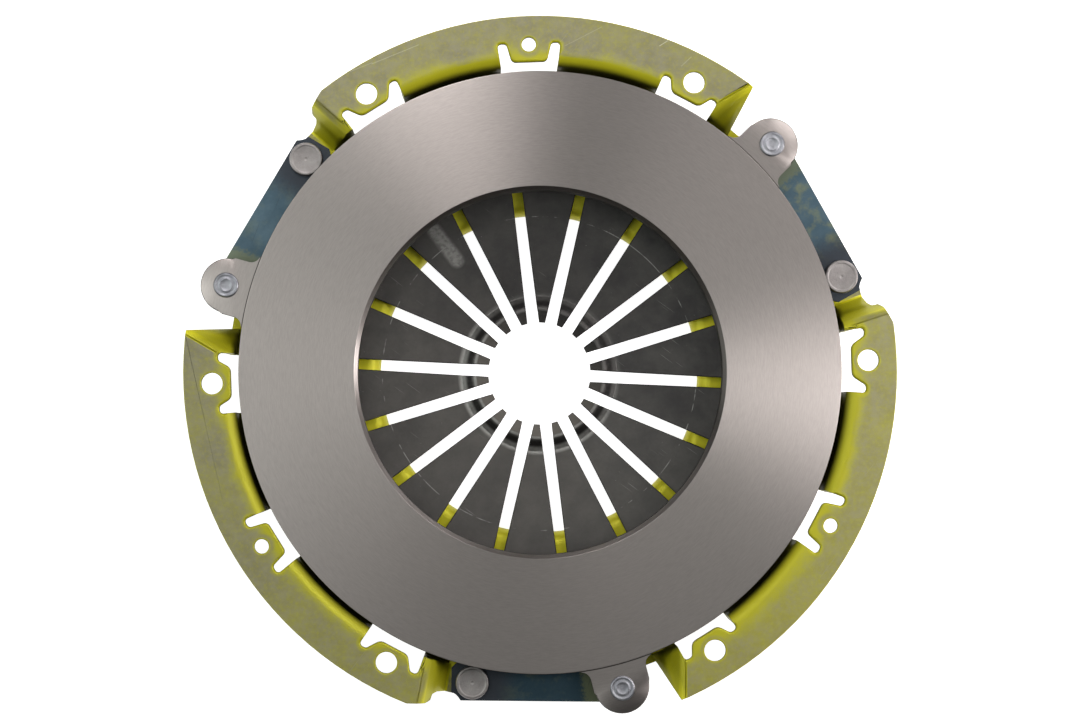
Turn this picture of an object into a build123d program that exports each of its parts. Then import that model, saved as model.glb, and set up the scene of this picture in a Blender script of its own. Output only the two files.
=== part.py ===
from build123d import *
from math import atan2, cos, degrees, radians, sin, tan
import os

os.makedirs("parts", exist_ok=True)

# Clutch pressure plate with diaphragm spring, for a 250 x 160 disc. Sizes in millimetres.
# Origin: centre of the bolt circle, in the mounting face of the flange. +Z points at the flywheel.
# Angles called headings run clockwise from +Y, seen from the flywheel.

# Cover pressed from sheet
sheet = 4.0
flange_r = 150.0
flange_width = 20.7
hole_margin = 12.0
bolt_hole_r = 4.5
dowel_hole_r = 3.0
bolt_heading = 30.0
wall_draft = 1.2
wall_bend = 3.5
back_bend = 8.0
lip_bend = 4.0
lip_in = 22.85
lip_drop = 4.0
lobes = 3
lobe_pitch = 360.0 / lobes

# Strap seats and the two sloping ends of each lobe
seat_top = -18.2
seat_out = 10.3
seat_clear = 2.0
seat_start = -40.6
seat_end = -50.6
seat_ramp_turn = -47.0
seat_ramp_run = 9.1
ear_fold_heading = 35.5
ear_fold_margin = 14.0
ear_fold_turn = 152.2
ear_ramp_run = 12.7
ear_ramp_drop = 22.0
ramp_bend = 3.5

# Windows in the wall, with the flat tongues that carry the holes. Each width is half of the whole.
window_reach = 5.3
strap_side_window = 13.7
strap_side_window_foot = 12.3
strap_side_notch = 1.3
strap_side_root = 10.5
strap_side_tip = 6.5
strap_side_tongue = 7.0
strap_side_round = 3.6
ear_side_window = 12.8
ear_side_window_foot = 12.1
ear_side_notch = 2.8
ear_side_root = 9.6
ear_side_tip = 6.4
ear_side_tongue = 8.0
ear_side_round = 3.4
dowel_window = 13.3
dowel_window_foot = 11.4
dowel_notch = -0.5
dowel_root = 9.6
dowel_tip = 7.4
dowel_tongue = 7.4
dowel_round = 2.4
notch_round = 1.5

# Pressure ring, cast iron
ring_gap = 2.85
face_width = 47.65
bore_chamfer = 1.9
ring_face = -4.0
ring_plate = 12.0
contact_in = 15.45
bead_half = 6.6
bead_round = 3.0
bead_to_step = 1.4
ear_heading = 47.5
ear_out = 10.05
ear_round = 11.5
ear_blend = 4.5
ear_step = 0.4
ear_root_depth = 14.75
ear_root_half = 13.16
head_clear = 1.6

# Drive straps, three leaves in each of three sets
leaves = 3
leaf = 0.88
leaf_pitch = 0.90
strap_width = 16.0
strap_rivet_heading = -45.6
strap_rivet_in = 5.7
ear_rivet_out = 0.8
strap_offset = 1.4
strap_overhang = 8.9
notch_long = 3.9
notch_wide = 3.3
inner_corner = 2.2
strap_end_room = 3.03

# Rivets
strap_rivet_head_r = 7.2
strap_rivet_head = 2.8
strap_rivet_shank_r = 3.5
strap_rivet_tail_r = 5.2
strap_rivet_tail = 2.8
ear_rivet_head_r = 5.3
ear_rivet_head = 1.0
ear_rivet_shank_r = 3.0
ear_rivet_tail_r = 4.6
ear_rivet_tail = 2.4
pivot_shank_r = 4.0
pivot_shoulder_r = 5.0
pivot_head_r = 8.8
pivot_head = 3.0
pivot_foot_r = 7.0
pivot_foot = 2.6
pivots = 9
fit = 0.05

# Diaphragm spring and its two wire fulcrum rings
spring = 3.0
spring_over = 2.2
lever = 13.0
rest_cone = 6.5
wire_r = 2.0
wire_play = 0.25
bead_play = 0.20
seat_play = 0.03
fingers = 18
first_finger = 5.0
bend_run = 5.2
crest_rise = 3.2
tip_length = 5.9
tip_r = 21.9
tip_drop = 0.5
tip_bend = 2.6
slot_outer = 4.3
slot_inner = 5.1
window_play_in = 1.55
window_play_out = 1.25
window_play_side = 1.2
rim_cut = 0.2

# Travel of the ring towards the cover, and the room that it keeps at the end of it
travel = 3.0
rim_room = 1.0
head_room = 0.5
pivot_room = 0.71
tail_room = 2.4

# Radii that follow from the flange inwards
wall_inner_r = flange_r - flange_width
hole_circle_r = flange_r - hole_margin
seat_r = wall_inner_r + seat_out
ear_fold_r = flange_r - ear_fold_margin
window_inner_r = wall_inner_r - window_reach
strap_side_top = hole_circle_r - strap_side_notch
ear_side_top = hole_circle_r - ear_side_notch
dowel_top = hole_circle_r - dowel_notch
strap_rivet_r = seat_r - strap_rivet_in
rivet_past_ramp = strap_rivet_r * sin(radians(strap_rivet_heading - seat_ramp_turn))
seat_ramp_foot = -rivet_past_ramp - strap_overhang - strap_end_room
ring_r = wall_inner_r - ring_gap
face_inner_r = ring_r - face_width
ring_bore_r = face_inner_r - bore_chamfer
contact_r = ring_r - contact_in
rim_step_r = contact_r + bead_half + bead_to_step
seat_inner_r = rim_step_r + seat_clear
ear_centre_r = ring_r + ear_out
ear_rivet_r = ear_centre_r + ear_rivet_out
ear_root_r = ring_r - ear_root_depth
head_relief_r = strap_rivet_head_r + head_clear
spring_r = contact_r + spring_over
fulcrum_r = contact_r - lever
pivot_r = fulcrum_r - wire_r - pivot_shoulder_r - fit
lip_bore_r = pivot_r - lip_in
window_start_r = pivot_r - pivot_shoulder_r - window_play_in
window_end_r = pivot_r + pivot_shoulder_r + window_play_out
window_width = 2 * (pivot_shoulder_r + window_play_side)
crest_r = tip_r + tip_length
valley_r = crest_r + bend_run

# Levels that follow from the straps, the ring and the spring
half_sheet = sheet / 2
half_spring = spring / 2
pitch = 360.0 / fingers
cone = tan(radians(rest_cone))
half_spring_z = half_spring / cos(radians(rest_cone))
seat_mid = seat_top - half_sheet
seat_under = seat_top - sheet
strap_top = seat_top + leaves * leaf_pitch
ear_back = strap_top
ear_face = ring_face - ear_step
ear_under_strap = ear_back - leaves * leaf_pitch
ring_back = ring_face - ring_plate
rim_back = strap_top + travel + rim_room
head_relief_top = strap_top + strap_rivet_head + travel + head_room
gap_wall_top = ear_under_strap - ear_rivet_tail - travel - tail_room
pivot_head_under = ring_back - travel - pivot_room - pivot_head
front_wire_z = pivot_head_under - seat_play - wire_r
fulcrum_z = front_wire_z - wire_r - wire_play - half_spring_z
rear_wire_z = fulcrum_z - half_spring_z - wire_play - wire_r
back_inner = rear_wire_z - wire_r - seat_play
back_mid = back_inner - half_sheet
back_outer = back_inner - sheet
lip_end = back_outer - lip_drop
spring_top_at_bead = fulcrum_z + (contact_r - fulcrum_r) * cone + half_spring_z
bead_crest = spring_top_at_bead + bead_play

# Rough cuts run past the part by these lengths
beyond = flange_r + 30
short_of = seat_inner_r - 7
fold_out = ear_fold_margin + 8
fold_in = ear_fold_r - wall_inner_r + 5.3


def plan(heading, radius):
    a = radians(heading)
    return (radius * sin(a), radius * cos(a))


def pointing(heading):
    a = radians(heading)
    return Vector(sin(a), cos(a), 0)


def upright(origin, across, along):
    return Plane(origin=origin, x_dir=pointing(across), z_dir=pointing(along))


# Plan outlines of the windows and of the tongues inside them, drawn on the +Y side
def opening_plan(half_top, half_foot, top):
    with BuildSketch(Plane.XY) as opening:
        Polygon(
            (-half_foot, window_inner_r), (-half_top, top), (half_top, top), (half_foot, window_inner_r),
            align=None,
        )
        fillet([v for v in opening.vertices() if v.Y > window_inner_r + 1], notch_round)
    return opening.sketch


def tongue_plan(half_root, half_tip, half_top, top, end, tip_round):
    with BuildSketch(Plane.XY) as tongue:
        Polygon(
            (-half_root, top + 1), (-half_root, top), (-half_tip, end), (half_tip, end),
            (half_root, top), (half_root, top + 1), align=None,
        )
        with Locations((0, top + 0.5)):
            Rectangle(2 * (half_top - notch_round), 1)
        fillet([v for v in tongue.vertices() if v.Y < end + 0.1], tip_round)
        roots = [v for v in tongue.vertices() if abs(v.Y - top) < 0.01 and abs(abs(v.X) - half_root) < 0.01]
        fillet(roots, notch_round)
    return tongue.sketch


windows = (
    (0, opening_plan(dowel_window, dowel_window_foot, dowel_top),
     tongue_plan(dowel_root, dowel_tip, dowel_window, dowel_top,
                 hole_circle_r - dowel_tongue, dowel_round)),
    (bolt_heading, opening_plan(ear_side_window, ear_side_window_foot, ear_side_top),
     tongue_plan(ear_side_root, ear_side_tip, ear_side_window, ear_side_top,
                 hole_circle_r - ear_side_tongue, ear_side_round)),
    (-bolt_heading, opening_plan(strap_side_window, strap_side_window_foot, strap_side_top),
     tongue_plan(strap_side_root, strap_side_tip, strap_side_window, strap_side_top,
                 hole_circle_r - strap_side_tongue, strap_side_round)),
)


# Cover: one pressing with three lobes, strap seats between them and a turned opening lip
with BuildPart() as cover:
    with BuildSketch(Plane.XZ):
        with BuildLine():
            FilletPolyline(
                (flange_r, -half_sheet),
                (wall_inner_r + half_sheet, -half_sheet),
                (wall_inner_r + half_sheet - wall_draft, back_mid),
                (lip_bore_r + half_sheet, back_mid),
                (lip_bore_r + half_sheet, lip_end),
                radius=(wall_bend, back_bend, lip_bend),
            )
        trace(line_width=sheet)
    revolve(axis=Axis.Z)

    foot = seat_ramp_foot
    top = seat_ramp_foot - seat_ramp_run
    for n in range(lobes):
        turn = n * lobe_pitch
        slope = upright((0, 0, 0), seat_ramp_turn - 90 + turn, seat_ramp_turn + turn)
        with BuildSketch(slope.offset(seat_inner_r - 5)):
            with BuildLine():
                Polyline(
                    (top, sheet), (top, -half_sheet), (foot, seat_mid),
                    (foot + fold_out + 8, seat_mid), (foot + fold_out + 8, sheet), close=True,
                )
            make_face()
        extrude(amount=flange_r - seat_inner_r + 16, mode=Mode.SUBTRACT)
        droop = upright((*plan(ear_fold_heading + turn, ear_fold_r), 0),
                        ear_fold_turn + turn, ear_fold_turn + 90 + turn)
        with BuildSketch(droop.offset(-fold_out)):
            with BuildLine():
                Polyline(
                    (0, sheet), (0, -half_sheet), (ear_ramp_run, -half_sheet - ear_ramp_drop),
                    (fold_out + 8, -half_sheet - ear_ramp_drop), (fold_out + 8, sheet), close=True,
                )
            make_face()
        extrude(amount=fold_out + fold_in + 6, mode=Mode.SUBTRACT)
        with BuildSketch(slope.offset(wall_inner_r - 7)):
            with BuildLine():
                FilletPolyline(
                    (top - 6, -half_sheet), (top, -half_sheet),
                    (foot, seat_mid), (foot + 8, seat_mid), radius=ramp_bend,
                )
            trace(line_width=sheet)
        extrude(amount=flange_width + 9.3)
        with BuildSketch(droop.offset(-fold_out)):
            with BuildLine():
                FilletPolyline(
                    (-6, -half_sheet), (0, -half_sheet),
                    (ear_ramp_run, -half_sheet - ear_ramp_drop), radius=ramp_bend,
                )
            trace(line_width=sheet)
        extrude(amount=fold_out + fold_in)

    # Trim the slopes to the flange circle, the wall and the plan outline of the lobes
    with BuildSketch(Plane.XY.offset(gap_wall_top)):
        Circle(beyond + 10)
        Circle(flange_r, mode=Mode.SUBTRACT)
    extrude(amount=-gap_wall_top + 4, mode=Mode.SUBTRACT)
    with BuildSketch(Plane.XY.offset(gap_wall_top)):
        Circle(wall_inner_r - 0.3)
    extrude(amount=-gap_wall_top + 4, mode=Mode.SUBTRACT)
    with BuildSketch(Plane.XY.offset(gap_wall_top)):
        with PolarLocations(0, lobes):
            Polygon(
                plan(seat_end, short_of), plan(seat_end, beyond), plan(-60, beyond), plan(-72, beyond),
                plan(37.8 - lobe_pitch, flange_r + 16.7), plan(41.8 - lobe_pitch, short_of + 1.2),
                plan(-65, short_of - 2), align=None,
            )
    extrude(amount=-gap_wall_top + 4, mode=Mode.SUBTRACT)
    with BuildSketch(Plane.XY.offset(gap_wall_top)):
        with PolarLocations(0, lobes):
            Polygon(
                plan(-35.9, flange_r), plan(-38.75, flange_r - 2.6), plan(-39.4, flange_r - 4.4),
                plan(-39.4, seat_r + 3.4), plan(-40.0, seat_r + 2.0), plan(-41.2, seat_r + 1.2),
                plan(-43.6, seat_r + 1.0), plan(-44.8, seat_r + 0.3), plan(seat_end, seat_r),
                plan(seat_end, beyond), plan(-35.9, beyond), align=None,
            )
    extrude(amount=-gap_wall_top + 4, mode=Mode.SUBTRACT)

    # Strap seats, each over a pocket that leaves room for the rivet tail
    with BuildSketch(Plane.XY.offset(seat_under)):
        with PolarLocations(0, lobes):
            Polygon((0, 0), plan(seat_start, beyond), plan(seat_end, beyond), align=None)
        Circle(seat_r, mode=Mode.INTERSECT)
        Circle(seat_inner_r, mode=Mode.SUBTRACT)
    extrude(amount=sheet)
    with BuildSketch(Plane.XY.offset(back_outer)):
        with PolarLocations(0, lobes):
            Polygon((0, 0), plan(seat_start, beyond), plan(seat_end, beyond), align=None)
        Circle(wall_inner_r + sheet - wall_draft, mode=Mode.INTERSECT)
        Circle(seat_inner_r, mode=Mode.SUBTRACT)
    extrude(amount=seat_mid - back_outer)
    with BuildSketch(Plane.XY.offset(back_inner)):
        with PolarLocations(0, lobes):
            Polygon((0, 0), plan(seat_start - 1.8, beyond), plan(seat_end + 1.8, beyond), align=None)
        Circle(flange_r, mode=Mode.INTERSECT)
        Circle(seat_inner_r + sheet, mode=Mode.SUBTRACT)
    extrude(amount=seat_under - back_inner, mode=Mode.SUBTRACT)

    # Windows down the wall; the tongues reach back over them in the plane of the flange
    for heading, opening, tongue in windows:
        with BuildSketch(Plane.XY.offset(lip_end - 2)):
            for n in range(lobes):
                add(opening, rotation=-heading - n * lobe_pitch)
        extrude(amount=4 - lip_end, mode=Mode.SUBTRACT)
        with BuildSketch(Plane.XY.offset(-sheet)):
            for n in range(lobes):
                add(tongue, rotation=-heading - n * lobe_pitch)
        extrude(amount=sheet)

    # Bolt, dowel and rivet holes
    with BuildSketch(Plane.XY.offset(-sheet - 1)):
        with PolarLocations(hole_circle_r, 6, start_angle=0):
            Circle(bolt_hole_r)
        with PolarLocations(hole_circle_r, 3, start_angle=90):
            Circle(dowel_hole_r)
    extrude(amount=sheet + 4, mode=Mode.SUBTRACT)
    with BuildSketch(Plane.XY.offset(seat_under - 1)):
        with PolarLocations(strap_rivet_r, lobes, start_angle=90 - strap_rivet_heading):
            Circle(strap_rivet_shank_r + fit)
    extrude(amount=sheet + 2, mode=Mode.SUBTRACT)
    with BuildSketch(Plane.XY.offset(back_outer - 1)):
        with PolarLocations(pivot_r, pivots, start_angle=first_finger + pitch / 2):
            Circle(pivot_shank_r + fit)
    extrude(amount=sheet + 2, mode=Mode.SUBTRACT)
cover.part.label = "cover"
export_step(cover.part, "parts/cover.step")


# Plan outline of an ear, drawn on the +Y side and blended into the rim
with BuildSketch(Plane.XY) as ear:
    Circle(ring_r)
    with Locations((0, ear_centre_r)):
        Circle(ear_round)
    with Locations((0, ear_centre_r / 2)):
        Rectangle(2 * ear_round, ear_centre_r)
    corners = [v for v in ear.vertices() if abs(Vector(*v).length - ring_r) < 0.01 and v.Y > ring_r / 2]
    fillet([v for v in corners if abs(v.X) > 1], ear_blend)
    Polygon(
        (0, 0), (-2 * ear_root_half, 2 * ear_root_r), (2 * ear_root_half, 2 * ear_root_r),
        align=None, mode=Mode.INTERSECT,
    )
    Circle(ear_root_r, mode=Mode.SUBTRACT)


# Pressure ring: friction face, fulcrum bead on the back and three ears for the straps
with BuildPart() as pressure_ring:
    with BuildSketch(Plane.XZ) as section:
        with BuildLine():
            Polyline(
                (face_inner_r, ring_face), (ring_r - 0.4, ring_face), (ring_r, ring_face - 0.4),
                (ring_r, rim_back), (rim_step_r, rim_back), (rim_step_r - 1, ring_back),
                (contact_r + bead_half, ring_back), (contact_r + bead_round, bead_crest),
                (contact_r - bead_round, bead_crest), (contact_r - bead_half, ring_back),
                (ring_bore_r + 1, ring_back), (ring_bore_r, ring_back + 1),
                (ring_bore_r, ring_face + ring_bore_r - face_inner_r), close=True,
            )
        make_face()
        fillet([v for v in section.vertices() if v.Y < bead_crest + 0.1], bead_round * 1.36)
    revolve(axis=Axis.Z)
    with BuildSketch(Plane.XY.offset(ear_back)):
        for n in range(lobes):
            add(ear.sketch, rotation=-ear_heading - n * lobe_pitch)
    extrude(amount=ear_face - ear_back)
    with BuildSketch(Plane.XY.offset(ear_back - 1)):
        with PolarLocations(ear_rivet_r, lobes, start_angle=90 - ear_heading):
            Circle(ear_rivet_shank_r + fit)
    extrude(amount=ear_face - ear_back + 2, mode=Mode.SUBTRACT)
    with BuildSketch(Plane.XY.offset(rim_back - 1)):
        with PolarLocations(strap_rivet_r, lobes, start_angle=90 - strap_rivet_heading):
            Circle(head_relief_r)
    extrude(amount=head_relief_top - rim_back + 1, mode=Mode.SUBTRACT)
pressure_ring.part.label = "pressure_ring"
export_step(pressure_ring.part, "parts/pressure_ring.step")


# Slot, wide rivet window and rim cut between two fingers, drawn on the +X side
with BuildSketch(Plane.XY) as slot_plan:
    with BuildLine():
        Polyline(
            (tip_r - 6.9, slot_inner / 2), (window_start_r + 4, slot_outer / 2),
            (window_start_r + 4, -slot_outer / 2), (tip_r - 6.9, -slot_inner / 2), close=True,
        )
    make_face()
    with Locations(((window_start_r + window_end_r) / 2, 0)):
        RectangleRounded(window_end_r - window_start_r, window_width, window_width * 0.42)
    with Locations((spring_r, 0)):
        Rectangle(2 * (spring_r - window_end_r) + 4, rim_cut)


# Diaphragm spring, one finger with its share of the rim, repeated round the axis
valley_z = fulcrum_z - (fulcrum_r - valley_r) * cone
with BuildPart() as finger_blank:
    with BuildSketch(Plane.XZ):
        with BuildLine():
            FilletPolyline(
                (spring_r, fulcrum_z + (spring_r - fulcrum_r) * cone), (valley_r, valley_z),
                (crest_r, valley_z + crest_rise), (tip_r, valley_z + crest_rise - tip_drop),
                radius=tip_bend,
            )
        trace(line_width=spring)
    revolve(axis=Axis.Z, revolution_arc=pitch)
    with BuildSketch(Plane.XY.offset(valley_z - 6)):
        add(slot_plan.sketch)
        add(slot_plan.sketch, rotation=pitch)
    extrude(amount=30, mode=Mode.SUBTRACT)

for n in range(fingers):
    with BuildPart() as finger:
        add(finger_blank.part, rotation=(0, 0, first_finger - pitch / 2 + n * pitch))
    finger.part.label = f"finger_{n + 1:02d}"
    export_step(finger.part, f"parts/finger_{n + 1:02d}.step")


# Wire fulcrum rings in front of and behind the spring
with BuildPart() as front_fulcrum_ring:
    with BuildSketch(Plane.XZ):
        with Locations((fulcrum_r, front_wire_z)):
            Circle(wire_r)
    revolve(axis=Axis.Z)
front_fulcrum_ring.part.label = "front_fulcrum_ring"
export_step(front_fulcrum_ring.part, "parts/front_fulcrum_ring.step")

with BuildPart() as rear_fulcrum_ring:
    with BuildSketch(Plane.XZ):
        with Locations((fulcrum_r, rear_wire_z)):
            Circle(wire_r)
    revolve(axis=Axis.Z)
rear_fulcrum_ring.part.label = "rear_fulcrum_ring"
export_step(rear_fulcrum_ring.part, "parts/rear_fulcrum_ring.step")


# Shouldered pivot rivets through every second window of the spring
with BuildPart() as pivot_blank:
    with BuildSketch(Plane.XZ):
        with BuildLine():
            Polyline(
                (0, pivot_head_under + pivot_head), (pivot_head_r - 1.2, pivot_head_under + pivot_head),
                (pivot_head_r, pivot_head_under + pivot_head - 1.2), (pivot_head_r, pivot_head_under),
                (pivot_shoulder_r, pivot_head_under), (pivot_shoulder_r, back_inner),
                (pivot_shank_r, back_inner), (pivot_shank_r, back_outer),
                (pivot_foot_r, back_outer), (pivot_foot_r, back_outer - pivot_foot + 1.4),
                (pivot_foot_r - 2.4, back_outer - pivot_foot), (0, back_outer - pivot_foot), close=True,
            )
        make_face()
    revolve(axis=Axis.Z)

for n in range(pivots):
    with BuildPart() as pivot_rivet:
        with PolarLocations(pivot_r, 1, start_angle=first_finger + pitch / 2 + n * 360 / pivots):
            add(pivot_blank.part)
    pivot_rivet.part.label = f"pivot_rivet_{n + 1}"
    export_step(pivot_rivet.part, f"parts/pivot_rivet_{n + 1}.step")


# Drive straps: leaves in a stack, from the seat of one lobe to the ear before the next
strap_start = Vector(*plan(strap_rivet_heading, strap_rivet_r))
strap_aim = Vector(*plan(ear_heading - lobe_pitch, ear_rivet_r))
strap_span = (strap_aim - strap_start).length
strap_run = (strap_span**2 - strap_offset**2) ** 0.5
aim_angle = degrees(atan2(strap_aim.Y - strap_start.Y, strap_aim.X - strap_start.X))
lean = degrees(atan2(-strap_offset, strap_run))
half_strap = strap_width / 2
near = -strap_overhang
far = strap_run + strap_overhang
with BuildSketch(Plane.XY) as strap_plan:
    with BuildLine():
        Polyline(
            (near, -half_strap + notch_wide), (near + notch_long, -half_strap),
            (far - notch_long, -half_strap), (far, -half_strap + notch_wide),
            (far, half_strap - inner_corner), (far - inner_corner, half_strap),
            (near + inner_corner, half_strap), (near, half_strap - inner_corner), close=True,
        )
    make_face()
    with Locations((0, 0)):
        Circle(strap_rivet_shank_r + fit, mode=Mode.SUBTRACT)
    with Locations((strap_run, -strap_offset)):
        Circle(ear_rivet_shank_r + fit, mode=Mode.SUBTRACT)

for n in range(lobes):
    for k in range(leaves):
        level = strap_top - k * leaf_pitch - leaf
        with BuildPart() as strap_leaf:
            with BuildSketch(Plane.XY.offset(level)) as placed:
                with Locations(Location((strap_start.X, strap_start.Y, 0), (0, 0, aim_angle - lean))):
                    add(strap_plan.sketch)
            extrude(amount=leaf)
        strap_leaf.part = strap_leaf.part.rotate(Axis.Z, -n * lobe_pitch)
        strap_leaf.part.label = f"strap_{n + 1}_leaf_{k + 1}"
        export_step(strap_leaf.part, f"parts/strap_{n + 1}_leaf_{k + 1}.step")


# Strap rivets, headed over the leaves at the seats
with BuildPart() as strap_rivet_blank:
    with BuildSketch(Plane.XZ):
        with BuildLine():
            Polyline(
                (0, strap_top + strap_rivet_head), (strap_rivet_head_r - 0.7, strap_top + strap_rivet_head),
                (strap_rivet_head_r, strap_top + strap_rivet_head - 0.7), (strap_rivet_head_r, strap_top),
                (strap_rivet_shank_r, strap_top), (strap_rivet_shank_r, seat_under),
                (strap_rivet_tail_r, seat_under), (strap_rivet_tail_r, seat_under - strap_rivet_tail + 1),
                (strap_rivet_tail_r - 1.4, seat_under - strap_rivet_tail),
                (0, seat_under - strap_rivet_tail), close=True,
            )
        make_face()
    revolve(axis=Axis.Z)

# Ear rivets, headed on the ears and closed under the leaves
with BuildPart() as ear_rivet_blank:
    with BuildSketch(Plane.XZ):
        with BuildLine():
            Polyline(
                (0, ear_face + ear_rivet_head), (ear_rivet_head_r - 0.5, ear_face + ear_rivet_head),
                (ear_rivet_head_r, ear_face + ear_rivet_head - 0.5), (ear_rivet_head_r, ear_face),
                (ear_rivet_shank_r, ear_face), (ear_rivet_shank_r, ear_under_strap),
                (ear_rivet_tail_r, ear_under_strap), (ear_rivet_tail_r, ear_under_strap - ear_rivet_tail + 0.9),
                (ear_rivet_tail_r - 1.2, ear_under_strap - ear_rivet_tail),
                (0, ear_under_strap - ear_rivet_tail), close=True,
            )
        make_face()
    revolve(axis=Axis.Z)

for n in range(lobes):
    with BuildPart() as strap_rivet:
        with PolarLocations(strap_rivet_r, 1, start_angle=90 - strap_rivet_heading - n * lobe_pitch):
            add(strap_rivet_blank.part)
    strap_rivet.part.label = f"strap_rivet_{n + 1}"
    export_step(strap_rivet.part, f"parts/strap_rivet_{n + 1}.step")
    with BuildPart() as ear_rivet:
        with PolarLocations(ear_rivet_r, 1, start_angle=90 - ear_heading + lobe_pitch - n * lobe_pitch):
            add(ear_rivet_blank.part)
    ear_rivet.part.label = f"ear_rivet_{n + 1}"
    export_step(ear_rivet.part, f"parts/ear_rivet_{n + 1}.step")
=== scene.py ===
import math

import bmesh
import bpy
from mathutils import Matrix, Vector
from mathutils.bvhtree import BVHTree


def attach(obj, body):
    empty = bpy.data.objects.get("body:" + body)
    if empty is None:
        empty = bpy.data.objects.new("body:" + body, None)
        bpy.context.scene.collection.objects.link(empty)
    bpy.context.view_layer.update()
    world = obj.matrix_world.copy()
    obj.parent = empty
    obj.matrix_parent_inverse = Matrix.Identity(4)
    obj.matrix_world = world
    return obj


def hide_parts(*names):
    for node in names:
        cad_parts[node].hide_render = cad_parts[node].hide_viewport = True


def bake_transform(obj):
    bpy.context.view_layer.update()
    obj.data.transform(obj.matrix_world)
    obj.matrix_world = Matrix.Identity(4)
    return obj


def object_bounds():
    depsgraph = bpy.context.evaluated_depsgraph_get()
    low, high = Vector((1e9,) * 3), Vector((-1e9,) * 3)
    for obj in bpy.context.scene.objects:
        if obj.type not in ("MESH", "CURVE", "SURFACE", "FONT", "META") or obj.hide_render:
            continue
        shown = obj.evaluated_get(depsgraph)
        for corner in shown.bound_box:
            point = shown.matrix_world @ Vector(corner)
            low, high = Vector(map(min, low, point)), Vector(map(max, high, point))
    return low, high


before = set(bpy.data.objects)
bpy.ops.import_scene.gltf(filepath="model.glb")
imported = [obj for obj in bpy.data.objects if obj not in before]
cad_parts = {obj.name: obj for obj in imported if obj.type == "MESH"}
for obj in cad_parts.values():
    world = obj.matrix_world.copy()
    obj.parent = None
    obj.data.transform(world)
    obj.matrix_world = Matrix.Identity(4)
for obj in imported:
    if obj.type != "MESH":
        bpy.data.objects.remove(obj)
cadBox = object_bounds()
mm = 0.001
print("frame loaded:", len(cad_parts), "nodes")


def srgb(red, green, blue):  # a colour as a picture editor shows it, made linear
    return tuple(((c / 255 + 0.055) / 1.055) ** 2.4 if c > 10 else c / 255 / 12.92
                 for c in (red, green, blue)) + (1.0,)


def around(heading, radius, level=0.0):  # clockwise from +Y, seen from the flywheel
    a = math.radians(heading)
    return Vector((radius * math.sin(a), radius * math.cos(a), level)) * mm


# Node building: a Made is a new node, a Signal is one of its outputs that sums can be written with
class Made:
    def __init__(self, tree, node):
        self.tree, self.node = tree, node

    def __getitem__(self, label):
        return Signal(self.tree, self.node.outputs[label])


class Signal:
    def __init__(self, tree, socket):
        self.tree, self.socket = tree, socket

    def maths(self, operation, second=0.0, third=0.0):
        return addNode(self.tree, "ShaderNodeMath", {0: self, 1: second, 2: third}, operation=operation)[0]

    def __add__(self, other):
        return self.maths("ADD", other)

    def __sub__(self, other):
        return self.maths("SUBTRACT", other)

    def __rsub__(self, other):
        return addNode(self.tree, "ShaderNodeMath", {0: other, 1: self}, operation="SUBTRACT")[0]

    def __mul__(self, other):
        return self.maths("MULTIPLY", other)


def setInputs(tree, node, inputs):
    for label, value in inputs.items():
        if isinstance(value, Signal):
            tree.links.new(value.socket, node.inputs[label])
        else:
            node.inputs[label].default_value = value


def addNode(tree, kind, inputs=None, **settings):
    node = tree.nodes.new(kind)
    for name, value in settings.items():
        setattr(node, name, value)
    setInputs(tree, node, inputs or {})
    return Made(tree, node)


def larger(first, second):
    return first.maths("MAXIMUM", second)


def hypot(first, second):
    return (first * first + second * second).maths("SQRT")


def split(vector):
    return addNode(vector.tree, "ShaderNodeSeparateXYZ", {0: vector})


def combine(tree, **parts):
    return addNode(tree, "ShaderNodeCombineXYZ", parts)[0]


def vectorMaths(operation, first, second=(0.0, 0.0, 0.0)):
    return addNode(first.tree, "ShaderNodeVectorMath", {0: first, 1: second}, operation=operation)


def towards(place, x, y):  # how far a place lies along a direction, times that direction's length
    return vectorMaths("DOT_PRODUCT", place, (x, y, 0.0))["Value"]


def noise(vector, scale, detail, roughness=0.5):
    return addNode(vector.tree, "ShaderNodeTexNoise",
                   {"Vector": vector, "Scale": scale, "Detail": detail, "Roughness": roughness})["Fac"]


def ramp(value, low, high, outLow=0.0, outHigh=1.0, kind="SMOOTHSTEP"):
    return addNode(value.tree, "ShaderNodeMapRange",
                   {"Value": value, "From Min": low, "From Max": high, "To Min": outLow, "To Max": outHigh},
                   interpolation_type=kind)["Result"]


def blend(factor, first, second):  # sockets 6 and 7 are the mix node's two colours
    return addNode(factor.tree, "ShaderNodeMix", {0: factor, 6: first, 7: second}, data_type="RGBA")[2]


def newGroup(name, kind, outputs, **inputs):  # an input is its first value, or the kind of its socket
    group = bpy.data.node_groups.new(name, kind)
    for label, value in inputs.items():
        socketKind = {int: "Int", float: "Float"}.get(type(value), value)
        socket = group.interface.new_socket(name=label, in_out="INPUT", socket_type="NodeSocket" + socketKind)
        if socketKind != value:
            socket.default_value = value
    for label in outputs:
        socketKind = "Geometry" if label == "Geometry" else "Float"
        group.interface.new_socket(name=label, in_out="OUTPUT", socket_type="NodeSocket" + socketKind)
    return group, Made(group, group.nodes.new("NodeGroupInput")), group.nodes.new("NodeGroupOutput")


def closeGroup(group, result, **signals):
    setInputs(group, result, signals)
    return group


def makeMottle():  # soft patches with finer grain inside them
    group, given, result = newGroup("mottle", "ShaderNodeTree", ("Mask", "Grain"),
                                    Vector="Vector", Scale=100.0, Low=0.4, High=0.6)
    patches = noise(given["Vector"], given["Scale"], 6.0, 0.6)
    return closeGroup(group, result, Mask=ramp(patches, given["Low"], given["High"], kind="LINEAR"),
                      Grain=noise(given["Vector"], given["Scale"] * 12.0, 3.0))


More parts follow.
